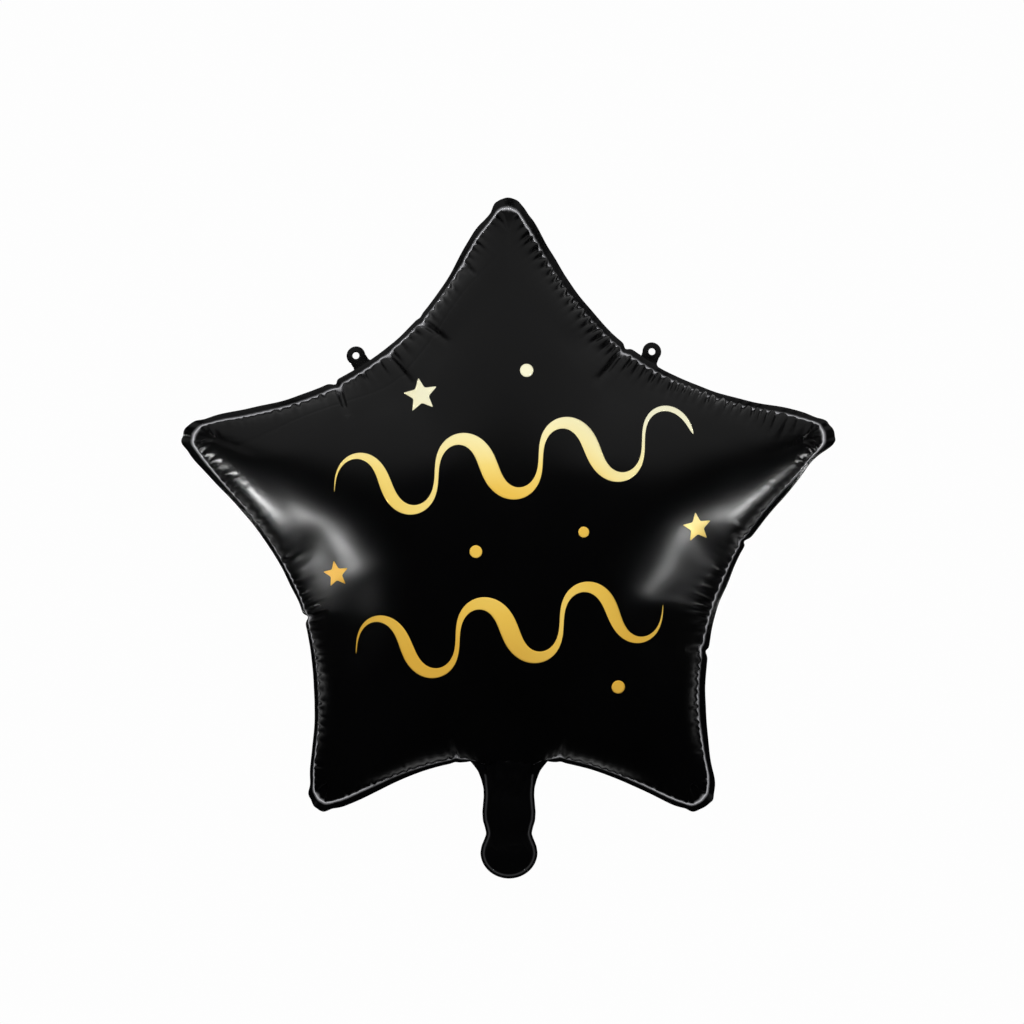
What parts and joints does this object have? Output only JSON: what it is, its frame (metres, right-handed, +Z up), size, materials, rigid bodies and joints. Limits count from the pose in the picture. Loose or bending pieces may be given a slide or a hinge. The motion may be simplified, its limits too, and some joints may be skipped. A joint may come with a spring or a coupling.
{
  "type": "star-shaped foil balloon",
  "caption": "Inflated star-shaped black foil party balloon with a welded rim, punched hanging tabs, a flat filling tail with its valve, and gold printed streamers, stars and dots.",
  "frame": {"origin": "on the star's upright axis, in the plane of the seam, at the mean height of the two tab holes that the balloon hangs by", "axes": "+Z up towards the star's top point, +X to the right seen from the printed front, which faces -Y"},
  "size_m": [0.448, 0.1371, 0.4719],
  "materials": {
    "black_film": "satin",
    "clear_valve_film": "gloss",
    "gold_print": "satin"
  },
  "bodies": {
    "envelope": {"front_panel": "black_film", "rear_panel": "black_film", "valve_front_film": "clear_valve_film", "valve_rear_film": "clear_valve_film", "print_streamer_upper": "gold_print", "print_streamer_lower": "gold_print", "print_star_1": "gold_print", "print_star_2": "gold_print", "print_star_3": "gold_print", "print_dot_1": "gold_print", "print_dot_2": "gold_print", "print_dot_3": "gold_print", "print_dot_4": "gold_print"},
    "tail": {"tail_front_film": "black_film", "tail_rear_film": "black_film", "valve_front_film_in_tail": "clear_valve_film", "valve_rear_film_in_tail": "clear_valve_film"},
    "tab_left": {"hanging_tab_left": "black_film"},
    "tab_right": {"hanging_tab_right": "black_film"}
  },
  "joints": [
    {"name": "tail_fold", "type": "hinge", "parent": "envelope", "child": "tail", "pos_m": [0, 0, -0.3084], "axis": [1, 0, 0], "range_deg": [-90, 90]},
    {"name": "tab_left_fold", "type": "hinge", "parent": "envelope", "child": "tab_left", "pos_m": [-0.10375, 0, -0.0061], "axis": [0.8387, 0, 0.5446], "range_deg": [-90, 90], "stiffness_Nm_per_rad": 0.0001},
    {"name": "tab_right_fold", "type": "hinge", "parent": "envelope", "child": "tab_right", "pos_m": [0.09778, 0, -0.00386], "axis": [0.9397, 0, -0.342], "range_deg": [-90, 90], "stiffness_Nm_per_rad": 0.0001}
  ]
}
